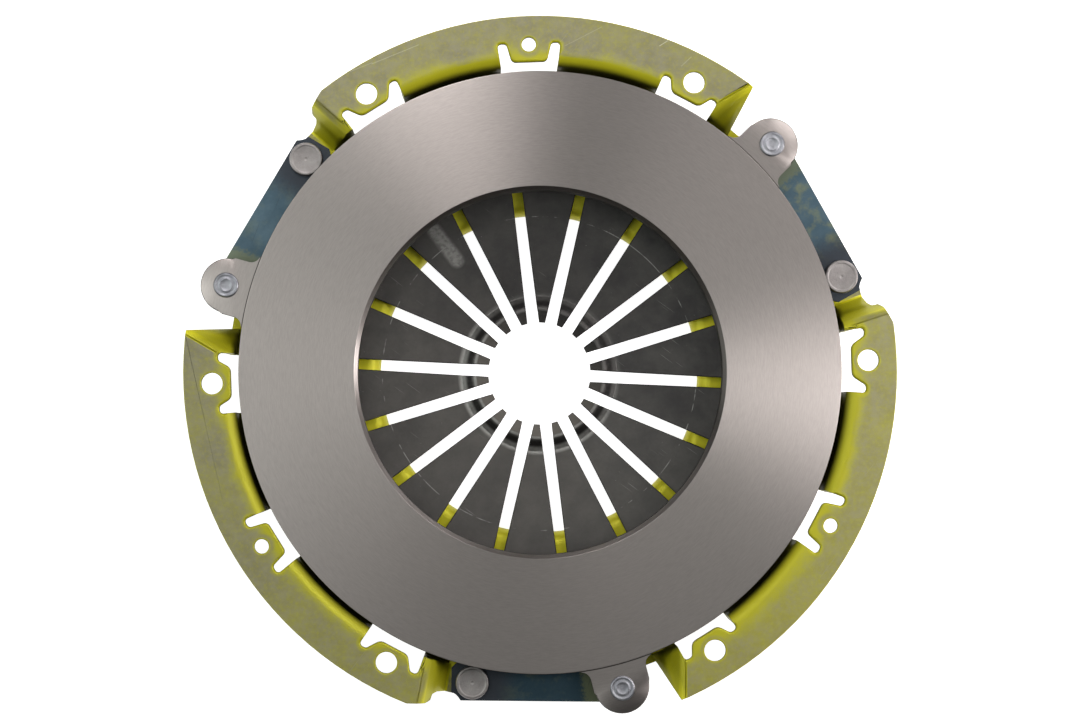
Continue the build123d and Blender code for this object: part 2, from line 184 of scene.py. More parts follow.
def makeTurning():  # fine lathe lines round the axis, broken up slowly along each line
    group, given, result = newGroup("turning", "ShaderNodeTree", ("Line", "Radius"),
                                    Vector="Vector", Lines=3000.0, Wander=18.0)
    parts = split(given["Vector"])
    x, y = parts["X"], parts["Y"]
    radius = hypot(x, y)
    spread = combine(group, X=radius * given["Lines"], Y=x * given["Wander"], Z=y * given["Wander"])
    return closeGroup(group, result, Line=noise(spread, 1.0, 4.0, 0.65), Radius=radius)


def makeHoleHalo():  # a soft ring round each of a circle of holes
    group, given, result = newGroup("holeHalo", "ShaderNodeTree", ("Mask",), Vector="Vector", Step=60.0,
                                    First=0.0, Circle=0.138, Inner=0.0045, Outer=0.007)
    parts = split(given["Vector"])
    x, y = parts["X"], parts["Y"]
    radius = hypot(x, y)
    turn = y.maths("ARCTAN2", x) - given["First"].maths("RADIANS")
    step = given["Step"].maths("RADIANS")
    off = turn.maths("WRAP", step * 0.5, step * -0.5)
    distance = hypot(off * radius, radius - given["Circle"])
    return closeGroup(group, result, Mask=ramp(distance, given["Inner"], given["Outer"], 1.0, 0.0))


def makeScuffs():  # thin scratches that run one way
    group, given, result = newGroup("scuffs", "ShaderNodeTree", ("Mask",), Vector="Vector", Turn=0.6,
                                    Fine=2200.0, Long=45.0, Rare=0.68)
    turned = addNode(group, "ShaderNodeVectorRotate", {"Vector": given["Vector"], "Angle": given["Turn"]},
                     rotation_type="Z_AXIS")[0]
    parts = split(turned)
    stretched = combine(group, X=parts["X"] * given["Fine"], Y=parts["Y"] * given["Long"], Z=parts["Z"])
    lines = noise(stretched, 1.0, 1.0)
    return closeGroup(group, result, Mask=ramp(lines, given["Rare"], given["Rare"] + 0.05, kind="LINEAR"))


def makeSmear():  # a straight mark between two places, fading over its width
    group, given, result = newGroup("smear", "ShaderNodeTree", ("Mask",), Vector="Vector", From="Vector",
                                    To="Vector", Width=0.0003, Edge=0.0002)
    run = vectorMaths("SUBTRACT", given["To"], given["From"])[0]
    off = vectorMaths("SUBTRACT", given["Vector"], given["From"])[0]
    flat = vectorMaths("MULTIPLY", off, (1.0, 1.0, 0.0))[0]
    along, square = (vectorMaths("DOT_PRODUCT", one, run)["Value"] for one in (flat, run))
    share = addNode(group, "ShaderNodeClamp", {"Value": along.maths("DIVIDE", square)})[0]
    nearest = addNode(group, "ShaderNodeVectorMath", {0: run, "Scale": share}, operation="SCALE")[0]
    away = vectorMaths("DISTANCE", flat, nearest)["Value"]
    return closeGroup(group, result,
                      Mask=ramp(away, given["Width"], given["Width"] + given["Edge"], 1.0, 0.0))


mottle = makeMottle()
turning = makeTurning()
holeHalo = makeHoleHalo()
scuffs = makeScuffs()
smear = makeSmear()


def use(group, place, **values):
    return addNode(place.tree, "ShaderNodeGroup", {"Vector": place, **values}, node_tree=group)


def startMaterial(name):
    material = bpy.data.materials.new(name)
    material.use_nodes = True
    return material, addNode(material.node_tree, "ShaderNodeTexCoord")["Object"]


def finishMaterial(material, colour, roughness, metallic, height, depth, **others):
    tree = material.node_tree
    bump = addNode(tree, "ShaderNodeBump", {"Height": height, "Distance": depth, "Strength": 1.0})
    setInputs(tree, tree.nodes["Principled BSDF"],
              {"Base Color": colour, "Roughness": roughness, "Metallic": metallic, "Normal": bump["Normal"],
               **others})
    return material


# Yellow zinc plate on the cover, worn to grey where the flange lies against things
zinc = dict(flat=srgb(137, 132, 102), worn=srgb(160, 155, 134), bright=srgb(184, 179, 24),
            deep=srgb(118, 114, 6), foot=srgb(52, 50, 5), inside=srgb(238, 230, 40), tinted=srgb(154, 149, 72),
            scratched=srgb(214, 211, 186), roughness=0.44, flangeFrom=131.4 * mm, flangeTo=138.0 * mm,
            litFrom=106.0 * mm, litTo=92.0 * mm, footFrom=131.4 * mm, footTo=128.6 * mm,
            footInner=(118.0 * mm, 122.0 * mm), grainReach=13.0 * mm, cloudReach=3.0 * mm,
            yellowReach=1.8 * mm, scratchWidth=0.04 * mm, scratchEdge=0.22 * mm, endFrom=37.2, endTo=38.8,
            pastFrom=35.0, pastTo=35.6, moreYellow=(5.4, -4.6), lowerSide=(2.6, -6.4),
            boltRims=(60.0, 0.0, 4.6, 6.0),
            dowelRims=(120.0, 90.0, 3.1, 4.4), boltTongues=(60.0, 0.0, 5.0, 7.0),
            dowelTongues=(120.0, 90.0, 4.4, 6.4), notchRims=(2.6, 4.1),
            notches=((90.0, 4.79, 137.1), (60.0, 4.79, 134.1), (120.0, 5.12, 135.6)),
            scratches=((-46.4, 139.3, -66.2, 132.0, 0.4), (-66.2, 132.4, -75.5, 129.1, 0.3),
                       (55.0, 135.4, 58.6, 137.5, 0.8), (63.9, 126.6, 68.2, 130.3, 0.35),
                       (15.2, 136.8, 30.9, 144.2, 0.25)))


def makeZincPlate():
    p = zinc
    material, place = startMaterial("zincPlate")
    normal = addNode(place.tree, "ShaderNodeNewGeometry")["Normal"]
    facing = split(normal)["Z"]
    parts = split(place)
    radius = use(turning, place, Lines=900.0)["Radius"]
    clouds = use(mottle, place, Scale=42.0, Low=0.36, High=0.64)
    patches = use(mottle, place, Scale=210.0, Low=0.38, High=0.62)
    specks = use(mottle, place, Scale=620.0, Low=0.45, High=0.66)
    lines = use(scuffs, place, Turn=0.7, Fine=1500.0, Long=30.0, Rare=0.70)["Mask"]

    def halo(step, first, inner, outer, circle=138.0):
        return use(holeHalo, place, Step=step, First=first, Circle=circle * mm, Inner=inner * mm,
                   Outer=outer * mm)["Mask"]

    heading = parts["X"].maths("ARCTAN2", parts["Y"]).maths("WRAP", math.radians(60.0), math.radians(-60.0))
    fromMiddle = heading.maths("ABSOLUTE")
    ends = ramp(fromMiddle, math.radians(p["endFrom"]), math.radians(p["endTo"]))
    ends = ends * ramp(facing, 0.35, 0.6)  # the slopes at a lobe's two ends
    rolled = (1.0 - ends) * ramp(heading, 0.0, -0.1) * ramp(facing, 0.45, 0.65, 0.0, 0.9)
    past = ramp(fromMiddle, math.radians(p["pastFrom"]), math.radians(p["pastTo"]))
    flat = larger(ramp(facing, 0.93, 0.99), rolled * past)
    ragged = radius + (specks["Grain"] - 0.5) * p["grainReach"] + (clouds["Mask"] - 0.5) * p["cloudReach"]
    ragged = ragged - ramp(towards(place, *p["moreYellow"]), 0.15, 0.95) * p["yellowReach"]
    inward = ramp(ragged, p["flangeFrom"], p["flangeTo"])  # the zinc is worn off outside a ragged line
    inward = larger(inward, larger(halo(*p["boltTongues"]), halo(*p["dowelTongues"])) * 0.9)
    rims = larger(halo(*p["boltRims"]), halo(*p["dowelRims"]))
    for first, off, circle in p["notches"]:
        for turn in (first - off, first + off):
            rims = larger(rims, halo(120.0, turn, *p["notchRims"], circle))
    kept = 1.0 - rims * ramp(specks["Grain"], 0.35, 0.6, 0.45, 0.9)
    dull = flat * inward * kept * ramp(clouds["Mask"], 0.0, 1.0, 0.74, 1.0)
    dull = dull * ramp(specks["Mask"], 0.0, 1.0, 1.0, 0.74)
    # painted shade: the slope yellow darkens on faces that turn away from straight up
    slope = blend(ramp(facing, -0.4, 0.6), p["deep"], p["bright"])
    # painted light: the inner cover and the slopes at the lobe ends get a lighter yellow
    slope = blend(larger(ramp(radius, p["litFrom"], p["litTo"]), ends), slope, p["inside"])
    hollow = vectorMaths("DOT_PRODUCT", place, normal)["Value"]  # below zero on walls that face the axis
    # painted shade: the wall's foot darkens towards the ring, on walls that face the axis
    foot = ramp(radius, p["footFrom"], p["footTo"], 0.0, 0.85) * ramp(hollow, -0.03, -0.07)
    slope = blend(foot * ramp(radius, *p["footInner"]), slope, p["foot"])
    greyed = blend(ramp(towards(place, *p["lowerSide"]), -0.3, 1.0, 0.0, 0.75), p["flat"], p["tinted"])
    colour = blend(dull, slope, greyed)
    grey = flat * larger(patches["Mask"] * 0.42, lines * 0.5)
    colour = blend(grey * dull, colour, p["worn"])
    for x1, y1, x2, y2, depth in p["scratches"]:
        scratch = use(smear, place, From=(x1 * mm, y1 * mm, 0.0), To=(x2 * mm, y2 * mm, 0.0),
                      Width=p["scratchWidth"], Edge=p["scratchEdge"])["Mask"]
        scratch = scratch * ramp(specks["Grain"], 0.36, 0.5, 0.2 * depth, depth)
        colour = blend(scratch, colour, p["scratched"])
    rough = ramp(patches["Grain"], 0.3, 0.7, p["roughness"] - 0.08, p["roughness"] + 0.12)
    return finishMaterial(material, colour, rough, ramp(dull, 0.0, 1.0, 0.25, 0.30),
                          patches["Grain"] + lines * -1.2, 0.04 * mm)


# Cast iron: turned on the friction side, as cast elsewhere
iron = dict(turned=srgb(182, 173, 170), streak=srgb(172, 163, 160), cast=srgb(64, 62, 58),
            castPale=srgb(84, 80, 74), joint=srgb(28, 26, 24), jointR=127.2 * mm, roughness=0.30,
            innerPart=(100.0 * mm, 90.0 * mm), turnedTo=(-6.4 * mm, -6.0 * mm),
            jointWidth=(0.32 * mm, 0.10 * mm), jointLevel=(-4.2 * mm, -4.3 * mm), shadedSide=(-7.4, -10.6))


def makeIron():
    p = iron
    material, place = startMaterial("turnedIron")
    facing = split(addNode(place.tree, "ShaderNodeNewGeometry")["Normal"])["Z"]
    level = split(place)["Z"]
    fine = use(turning, place, Lines=3400.0, Wander=260.0)
    radius = fine["Radius"]
    upright = larger(facing - 0.4, ramp(radius, *p["innerPart"]) * facing)  # the rim's small round stays dark
    machined = ramp(upright, 0.50, 0.58) * ramp(level, *p["turnedTo"])
    patches = use(mottle, place, Scale=24.0, Low=0.3, High=0.7)
    grit = use(mottle, place, Scale=260.0, Low=0.4, High=0.7)
    bare = blend(ramp(fine["Line"], 0.35, 0.65), p["streak"], p["turned"])
    bare = blend(patches["Mask"] * 0.25, bare, p["streak"])
    away = (radius - p["jointR"]).maths("ABSOLUTE")
    joint = ramp(away, *p["jointWidth"]) * ramp(level, *p["jointLevel"])  # where an ear meets the rim
    bare = blend(joint * 0.8, bare, p["joint"])
    tipped = ramp(facing, 0.93, 0.85) * ramp(towards(place, *p["shadedSide"]), 0.1, -0.35, 0.0, 0.7)
    bare = blend(tipped, bare, p["cast"])  # the bore's chamfer is darker on one side
    rough = blend(grit["Mask"] * 0.5, p["cast"], p["castPale"])
    outward = vectorMaths("NORMALIZE", vectorMaths("MULTIPLY", place, (1.0, 1.0, 0.0))[0])[0]
    height = fine["Line"] * machined + grit["Grain"] * (8.0 - machined * 8.0)
    return finishMaterial(material, blend(machined, rough, bare), ramp(machined, 0.0, 1.0, 0.7, p["roughness"]),
                          ramp(machined, 0.0, 1.0, 0.55, 1.0), height, 0.006 * mm, Tangent=outward,
                          Anisotropic=0.70)


# Dark hardened steel of the diaphragm spring
springSteel = dict(dark=srgb(62, 60, 60), warm=srgb(92, 89, 86), pale=srgb(190, 188, 184),
                   tip=srgb(112, 107, 101), shade=srgb(34, 32, 31), roughness=0.44, polishedSide=(-14.0, -20.0),
                   witnessR=67.2 * mm, witnessWidth=0.3 * mm, tipFrom=27.4 * mm, tipTo=26.6 * mm,
                   rubFrom=(-42.6 * mm, 62.4 * mm, 0.0), rubTo=(-33.6 * mm, 49.6 * mm, 0.0),
                   rubWidth=1.6 * mm, rubEdge=2.4 * mm,
                   bands=((32.9, 2.4, 0.62, "pale"), (30.0, 1.9, 0.8, "shade"), (27.6, 0.9, 0.5, "pale")))


def makeSpringSteel():
    p = springSteel
    material, place = startMaterial("springSteel")
    found = use(turning, place, Lines=1500.0, Wander=120.0)
    radius = found["Radius"]
    patches = use(mottle, place, Scale=60.0, Low=0.35, High=0.65)
    broken = use(mottle, place, Scale=150.0, Low=0.5, High=0.6)
    dots = use(mottle, place, Scale=900.0, Low=0.70, High=0.76)
    lines = use(scuffs, place, Turn=-0.9, Fine=1800.0, Long=60.0, Rare=0.74)["Mask"]
    offset = (radius - p["witnessR"]).maths("ABSOLUTE")
    witness = ramp(offset, p["witnessWidth"], 0.0) * broken["Mask"]
    rub = use(smear, place, From=p["rubFrom"], To=p["rubTo"], Width=p["rubWidth"], Edge=p["rubEdge"])["Mask"]
    rub = rub * ramp(patches["Grain"], 0.30, 0.65, 0.45, 1.0)
    # painted light: the spring is lighter towards the lower left; the body tone below is half random patches,
    # half this painted light
    sideLight = ramp(towards(place, *p["polishedSide"]), -0.75, 0.65)
    colour = blend(patches["Mask"] * 0.5 + sideLight * 0.5, p["dark"], p["warm"])
    marks = larger(larger(witness * 0.5, rub * 0.42), lines * 0.2)
    colour = blend(larger(marks, dots["Mask"] * 0.35), colour, p["pale"])
    # painted shade: the tips darken towards the upper right
    tip = blend(sideLight, p["shade"], p["tip"])
    colour = blend(ramp(radius, p["tipFrom"], p["tipTo"], 0.0, 0.8), colour, tip)
    for middle, reach, depth, tone in p["bands"]:  # painted highlight on the two bends and painted shade on the slope between them
        off = (radius - middle * mm).maths("ABSOLUTE")
        band = ramp(off, reach * mm, reach * 0.25 * mm) * ramp(patches["Grain"], 0.3, 0.6, 0.75, 1.0)
        # the painted highlights are stronger towards the lower left
        bandLight = ramp(sideLight, 0.0, 1.0, 0.12 * depth, depth) if tone == "pale" else depth
        colour = blend(band * bandLight, colour, p[tone])
    rough = ramp(patches["Grain"], 0.3, 0.7, p["roughness"] - 0.06, p["roughness"] + 0.08)
    return finishMaterial(material, colour, rough, 0.75, found["Line"], 0.01 * mm)


# Blued strip of the drive straps
blueStrip = dict(blue=srgb(74, 95, 108), pale=srgb(92, 114, 127), stain=srgb(140, 142, 96),
                 dark=srgb(60, 63, 70), deep=srgb(36, 58, 70), seatEnd=51.0, earEnd=69.0,
                 deepFrom=-90.0 * mm, deepTo=-115.0 * mm, rustyFrom=60.0 * mm, rustyTo=110.0 * mm)


def makeBlueStrip():
    p = blueStrip
    material, place = startMaterial("blueStrip")
    parts = split(place)
    wrapped = parts["X"].maths("ARCTAN2", parts["Y"]).maths("WRAP", 0.0, -math.radians(120.0))
    heading = wrapped.maths("ABSOLUTE")  # back from one lobe's middle towards the one before it
    patches = use(mottle, place, Scale=70.0, Low=0.36, High=0.66)
    stains = use(mottle, place, Scale=130.0, Low=0.50, High=0.66)
    lines = use(scuffs, place, Turn=0.4, Fine=1400.0, Long=40.0, Rare=0.68)["Mask"]
    colour = blend(patches["Mask"], p["blue"], p["pale"])
    # painted shade: the straps darken towards the bottom
    colour = blend(ramp(parts["Y"], p["deepFrom"], p["deepTo"], 0.0, 0.75), colour, p["deep"])
    waved = heading + (patches["Grain"] - 0.5) * 0.04
    byEar = ramp(waved, math.radians(p["earEnd"] - 4.0), math.radians(p["earEnd"] - 2.6))
    rusty = ramp(parts["X"], p["rustyFrom"], p["rustyTo"], 0.15, 0.55)
    colour = blend(larger(byEar * 0.5, stains["Mask"] * rusty), colour, p["stain"])
    bySeat = ramp(waved, math.radians(p["seatEnd"] + 4.0), math.radians(p["seatEnd"] - 1.5))
    colour = blend(larger(bySeat * 0.95, lines * 0.4), colour, p["dark"])
    return finishMaterial(material, colour, ramp(patches["Grain"], 0.3, 0.7, 0.34, 0.5), 0.8,
                          patches["Grain"], 0.03 * mm)


def makeRivetSteel(name, tone, shade):
    material, place = startMaterial(name)
    patches = use(mottle, place, Scale=160.0, Low=0.35, High=0.65)
    return finishMaterial(material, blend(patches["Mask"], tone, shade),
                          ramp(patches["Grain"], 0.3, 0.7, 0.34, 0.5), 0.85, patches["Grain"], 0.05 * mm)


zincPlate = makeZincPlate()
turnedIron = makeIron()
springDark = makeSpringSteel()
strapBlue = makeBlueStrip()
earRivetSteel = makeRivetSteel("earRivetSteel", srgb(172, 172, 178), srgb(142, 142, 150))
seatRivetSteel = makeRivetSteel("seatRivetSteel", srgb(166, 160, 159), srgb(144, 138, 137))
wireSteel = makeRivetSteel("wireSteel", srgb(120, 119, 117), srgb(98, 96, 92))
print("materials made:", len(bpy.data.materials))


# Mesh building
def newPiece(name, mesh, material):
    mesh.materials.clear()
    mesh.materials.append(material)
    return newObject(name, mesh)


def newObject(name, data):
    made = bpy.data.objects.new(name, data)
    bpy.context.scene.collection.objects.link(made)
    return made


def setSharp(mesh, sharp):
    mesh.shade_smooth()
    mesh.set_sharp_from_angle(angle=math.radians(sharp))
    return mesh


def plainMesh(piece):  # the mesh that a piece's modifiers leave, and the piece itself goes
    bpy.context.view_layer.update()
    mesh = bpy.data.meshes.new_from_object(piece.evaluated_get(bpy.context.evaluated_depsgraph_get()))
    bpy.data.objects.remove(piece)
    return mesh


def meshFrom(name, points, faces, sharp=35.0):
    mesh = bpy.data.meshes.new(name)
    mesh.from_pydata(points, [], faces)
    body = bmesh.new()
    body.from_mesh(mesh)
    bmesh.ops.remove_doubles(body, verts=body.verts, dist=1e-7)
    bmesh.ops.recalc_face_normals(body, faces=body.faces)
    body.to_mesh(mesh)
    body.free()
    return setSharp(mesh, sharp)


def roundedPath(points, radius, steps=6):  # a polyline with its corners turned into arcs
    path = [Vector(points[0])]
    for before, corner, after in zip(points, points[1:], points[2:]):
        before, corner, after = Vector(before), Vector(corner), Vector(after)
        size = radius[corner.to_tuple()] if isinstance(radius, dict) else radius
        arriving, leaving = (before - corner).normalized(), (after - corner).normalized()
        angle = arriving.angle(leaving)
        reach = size / math.tan(angle / 2)
        centre = corner + (arriving + leaving).normalized() * (size / math.sin(angle / 2))
        first, last = corner + arriving * reach - centre, corner + leaving * reach - centre
        path += [centre + first.slerp(last, i / steps).normalized() * size for i in range(steps + 1)]
    path.append(Vector(points[-1]))
    return path


def tube(loops, size, start=0):  # faces between loops of points that follow each other
    return [(start + n * size + k, start + n * size + (k + 1) % size, start + (n + 1) * size + (k + 1) % size,
             start + (n + 1) * size + k) for n in range(loops - 1) for k in range(size)]


def capped(loops, size, start=0):  # the same with both ends closed
    last = start + (loops - 1) * size
    return tube(loops, size, start) + [tuple(range(start, start + size)), tuple(range(last, last + size))]


def latheMesh(name, profile, segments, closed=True):
    points, faces = [], []
    count = len(profile)
    for s in range(segments):
        a = 2 * math.pi * s / segments
        points += [(r * math.cos(a) * mm, r * math.sin(a) * mm, z * mm) for r, z in profile]
    for s in range(segments):
        here, following = s * count, (s + 1) % segments * count
        for k in range(count if closed else count - 1):
            n = (k + 1) % count
            faces.append((here + k, following + k, following + n, here + n))
    return meshFrom(name, points, faces)


def closeGeometry(group, given, result, shape):
    solid = addNode(group, "GeometryNodeRealizeInstances", {"Geometry": shape})[0]
    painted = addNode(group, "GeometryNodeSetMaterial", {"Geometry": solid, "Material": given["Material"]})[0]
    return closeGroup(group, result, Geometry=painted)


def makeRingOfCopies():  # Geometry Nodes tree that sets copies of a piece round the axis
    group, given, result = newGroup("ringOfCopies", "GeometryNodeTree", ("Geometry",), Geometry="Geometry",
                                    Copies=1, Step=120.0, First=0.0, Radius=0.0, Material="Material")
    index = addNode(group, "GeometryNodeInputIndex")[0]
    turn = (index * given["Step"] + given["First"]).maths("RADIANS")
    spot = combine(group, X=turn.maths("COSINE") * given["Radius"], Y=turn.maths("SINE") * given["Radius"])
    dots = addNode(group, "GeometryNodePoints", {"Count": given["Copies"], "Position": spot})[0]
    copies = addNode(group, "GeometryNodeInstanceOnPoints",
                     {"Points": dots, "Instance": given["Geometry"], "Rotation": combine(group, Z=turn)})[0]
    return closeGeometry(group, given, result, copies)


def makeWireRing(ringPoints=240, wirePoints=20):  # Geometry Nodes tree for a round wire bent to a ring
    group, given, result = newGroup("wireRing", "GeometryNodeTree", ("Geometry",), Radius=0.1, Wire=0.002,
                                    Level=0.0, Material="Material")
    loop, section = (addNode(group, "GeometryNodeCurvePrimitiveCircle",
                             {"Resolution": points, "Radius": given[label]})[0]
                     for points, label in ((ringPoints, "Radius"), (wirePoints, "Wire")))
    swept = addNode(group, "GeometryNodeCurveToMesh", {"Curve": loop, "Profile Curve": section})[0]
    placed = addNode(group, "GeometryNodeTransform",
                     {"Geometry": swept, "Translation": combine(group, Z=given["Level"])})[0]
    smooth = addNode(group, "GeometryNodeSetShadeSmooth", {"Geometry": placed})[0]
    return closeGeometry(group, given, result, smooth)


ringOfCopies = makeRingOfCopies()
wireRing = makeWireRing()


def growPiece(name, tree, mesh=None, sharp=None, **values):  # runs a tree once and keeps its plain mesh
    seed = newObject(name + "Seed", mesh or bpy.data.meshes.new(name + "Seed"))
    modifier = seed.modifiers.new("grow", "NODES")
    modifier.node_group = tree
    sockets = {item.name: item.identifier for item in tree.interface.items_tree
               if item.item_type == "SOCKET" and item.in_out == "INPUT"}
    for label, value in values.items():
        modifier[sockets[label]] = value
    grown = plainMesh(seed)
    grown.name = name
    if sharp:
        setSharp(grown, sharp)
    return newObject(name, grown)


# Cover: the pressing, with its sheared edges rolled over as the punch leaves them
coverPiece = dict(roll=1.0, windowEdge=1.0, holeEdge=0.44, otherEdge=0.32, sharpFrom=28.0, thin=0.015,
                  lowest=-3.6, stray=0.33, merge=0.002, sliver=0.006, holeCircle=138.0, holeReach=4.7,
                  windowLevel=-0.1, windowReach=143.0, levelNormal=0.9999, levelAngle=0.05, segments=3,
                  faceWeight=50)


def edgeShare(edge):  # how far an edge rolls over, as a share of the largest roll; none for what stays as it is
    p = coverPiece
    if len(edge.link_faces) != 2 or edge.calc_face_angle(0.0) < math.radians(p["sharpFrom"]):
        return 0.0
    narrowest = min(2 * f.calc_area() / max(side.calc_length() for side in f.edges) for f in edge.link_faces)
    spot = (edge.verts[0].co + edge.verts[1].co) / 2
    if narrowest < p["thin"] * mm or spot.z < p["lowest"] * mm:
        return 0.0
    holes = [around(heading, p["holeCircle"]).xy for heading in range(0, 360, 30)]
    if min((spot.xy - hole).length for hole in holes) < p["holeReach"] * mm:
        return p["holeEdge"]
    if spot.z > p["windowLevel"] * mm and spot.xy.length < p["windowReach"] * mm:
        return p["windowEdge"]
    return p["otherEdge"]


def makeCover():
    p = coverPiece
    body = bmesh.new()
    body.from_mesh(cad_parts["cover"].data)
    bmesh.ops.remove_doubles(body, verts=body.verts, dist=p["merge"] * mm)
    bmesh.ops.dissolve_degenerate(body, dist=p["sliver"] * mm, edges=body.edges)
    level = [e for e in body.edges
             if len(e.link_faces) == 2 and all(abs(f.normal.z) > p["levelNormal"] for f in e.link_faces)]
    bmesh.ops.dissolve_limit(body, angle_limit=math.radians(p["levelAngle"]),
                             verts=list({v for e in level for v in e.verts}), edges=level)
    weight = body.edges.layers.float.new("bevel_weight_edge")
    for edge in body.edges:
        edge[weight] = edgeShare(edge)
    surface = BVHTree.FromBMesh(body)
    mesh = bpy.data.meshes.new("coverPressing")
    body.to_mesh(mesh)
    body.free()
    mesh.shade_smooth()
    rough = newObject("coverRough", mesh)
    modifier = rough.modifiers.new("rolledEdges", "BEVEL")
    modifier.limit_method, modifier.width, modifier.segments = "WEIGHT", p["roll"] * mm, p["segments"]
    modifier.use_clamp_overlap = modifier.loop_slide = False
    weighted = rough.modifiers.new("flatFaces", "WEIGHTED_NORMAL")
    weighted.mode, weighted.weight, weighted.keep_sharp = "FACE_AREA", p["faceWeight"], True
    mesh = plainMesh(rough)
    strays = 0
    for v in mesh.vertices:  # a corner that the rolled edge threw off the sheet goes back onto it
        nearest, _, _, away = surface.find_nearest(v.co)
        if away > p["stray"] * mm:
            v.co = nearest
            strays += 1
    piece = newPiece("coverPressing", mesh, zincPlate)
    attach(piece, "cover")
    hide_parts("cover")
    print("cover:", len(mesh.polygons), "faces,", strays, "corners put back")


makeCover()


# Pressure ring: turned body and three ears
ringPiece = dict(outer=127.1, bore=76.9, faceInner=78.55, face=-4.0, back=-16.0, rimBack=-11.5, rimStep=119.0,
                 contact=111.0, beadHalf=6.6, beadTop=3.0, crest=-25.31, corner=0.35, rim=0.18, lip=0.12,
                 beadRound=4.1, longRun=2.0, held=0.3, segments=720)
earPiece = dict(heading=47.5, centre=136.5, round=11.5, blend=4.5, face=-4.4, back=-15.5, root=113.0,
                rootHalf=7.0, edge=0.45, blendSteps=8, tipSteps=12)


def earOutline():  # half of the ear's plan outline from the rim to its tip, on +Y
    p = earPiece
    centreX = p["round"] + p["blend"]
    centreY = math.sqrt((ringPiece["outer"] + p["blend"]) ** 2 - centreX ** 2)
    start = math.atan2(centreY, centreX)  # towards the axis
    root = math.radians(p["rootHalf"])
    half = [(root * p["root"], p["root"] * math.cos(root))]
    for i in range(p["blendSteps"] + 1):
        a = math.pi + start * (1 - i / p["blendSteps"])
        half.append((centreX + p["blend"] * math.cos(a), centreY + p["blend"] * math.sin(a)))
    for i in range(p["tipSteps"] + 1):
        a = math.pi / 2 * i / p["tipSteps"]
        half.append((p["round"] * math.cos(a), p["centre"] + p["round"] * math.sin(a)))
    return half


def earMesh():
    p = earPiece
    half = earOutline()
    outline = [Vector(spot) for spot in half + [(-x, y) for x, y in reversed(half[:-1])]]
    count, points = len(outline), []
    middle = Vector((0.0, p["centre"]))
    levels = ((p["back"], p["edge"]), (p["back"] + p["edge"], 0.0), (p["face"] - p["edge"], 0.0),
              (p["face"] - 0.3 * p["edge"], 0.3 * p["edge"]), (p["face"], p["edge"]))
    for level, inset in levels:
        for n, spot in enumerate(outline):
            along = (outline[(n + 1) % count] - outline[n - 1]).normalized()
            inward = Vector((along.y, -along.x))
            if inward.dot(middle - spot) < 0 and spot.y > p["centre"]:
                inward.negate()
            shifted = spot + inward * inset
            points.append((shifted.x * mm, shifted.y * mm, level * mm))
    return meshFrom("ear", points, capped(len(levels), count), sharp=30.0)


def makePressureRing():
    p = ringPiece
    corners = [(p["faceInner"], p["face"]), (p["outer"], p["face"]), (p["outer"], p["rimBack"]),
               (p["rimStep"], p["rimBack"]), (p["rimStep"] - 1, p["back"]),
               (p["contact"] + p["beadHalf"], p["back"]), (p["contact"] + p["beadTop"], p["crest"]),
               (p["contact"] - p["beadTop"], p["crest"]), (p["contact"] - p["beadHalf"], p["back"]),
               (p["bore"], p["back"]), (p["bore"], p["face"] - (p["faceInner"] - p["bore"]))]
    special = {0: p["lip"], 1: p["rim"], 6: p["beadRound"], 7: p["beadRound"], 10: p["lip"]}
    sizes = {Vector(c).to_tuple(): special.get(n, p["corner"]) for n, c in enumerate(corners)}
    rounded = [tuple(v) for v in roundedPath([corners[-1]] + corners + [corners[0]], sizes, steps=4)][1:-1]
    profile = []
    for here, after in zip(rounded, rounded[1:] + rounded[:1]):
        profile.append(here)
        run = math.dist(here, after)
        if run > p["longRun"]:  # a loop near each end of a long run keeps it flat
            profile += [tuple(a + (b - a) * d / run for a, b in zip(here, after))
                        for d in (p["held"], run - p["held"])]
    body = newPiece("frictionRing", latheMesh("frictionRing", profile, p["segments"]), turnedIron)
    ears = growPiece("ears", ringOfCopies, earMesh(), sharp=30.0, Copies=3, Step=120.0,
                     First=-earPiece["heading"], Radius=0.0, Material=turnedIron)
    for piece in (body, ears):
        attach(piece, "pressure_ring")
    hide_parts("pressure_ring")
    print("ring:", len(body.data.polygons), "faces, ears:", len(ears.data.polygons))


makePressureRing()


# Diaphragm spring fingers
finger = dict(sheet=3.0, outer=113.2, fulcrum=98.0, fulcrumLevel=-28.5, cone=6.5, valley=33.0, crest=27.8,
              rise=3.2, tip=21.9, drop=0.5, bend=2.6, slotOuter=4.3, slotInner=5.1, slotFrom=15.0,
              windowFrom=84.4, windowTo=97.2, window=12.4, rimCut=0.2, edge=0.35, pitch=20.0, first=5.0,
              count=18, columns=9, longRun=3.0, step=1.2)


def fingerEdge(radius):  # angle from the finger's middle to its edge
    p = finger
    share = min(max((radius - p["slotFrom"]) / (p["windowFrom"] - p["slotFrom"]), 0.0), 1.0)
    gap = p["slotInner"] + (p["slotOuter"] - p["slotInner"]) * share
    if p["windowFrom"] < radius < p["windowTo"]:
        middle, halfLong = (p["windowFrom"] + p["windowTo"]) / 2, (p["windowTo"] - p["windowFrom"]) / 2
        away = min(abs(radius - middle) / halfLong, 1.0)
        gap = max(gap if radius < middle else p["rimCut"], p["window"] * (1 - away ** 3) ** (1 / 3))
    elif radius >= p["windowTo"]:
        gap = p["rimCut"]
    return math.radians(p["pitch"] / 2) - math.asin(gap / 2 / radius)


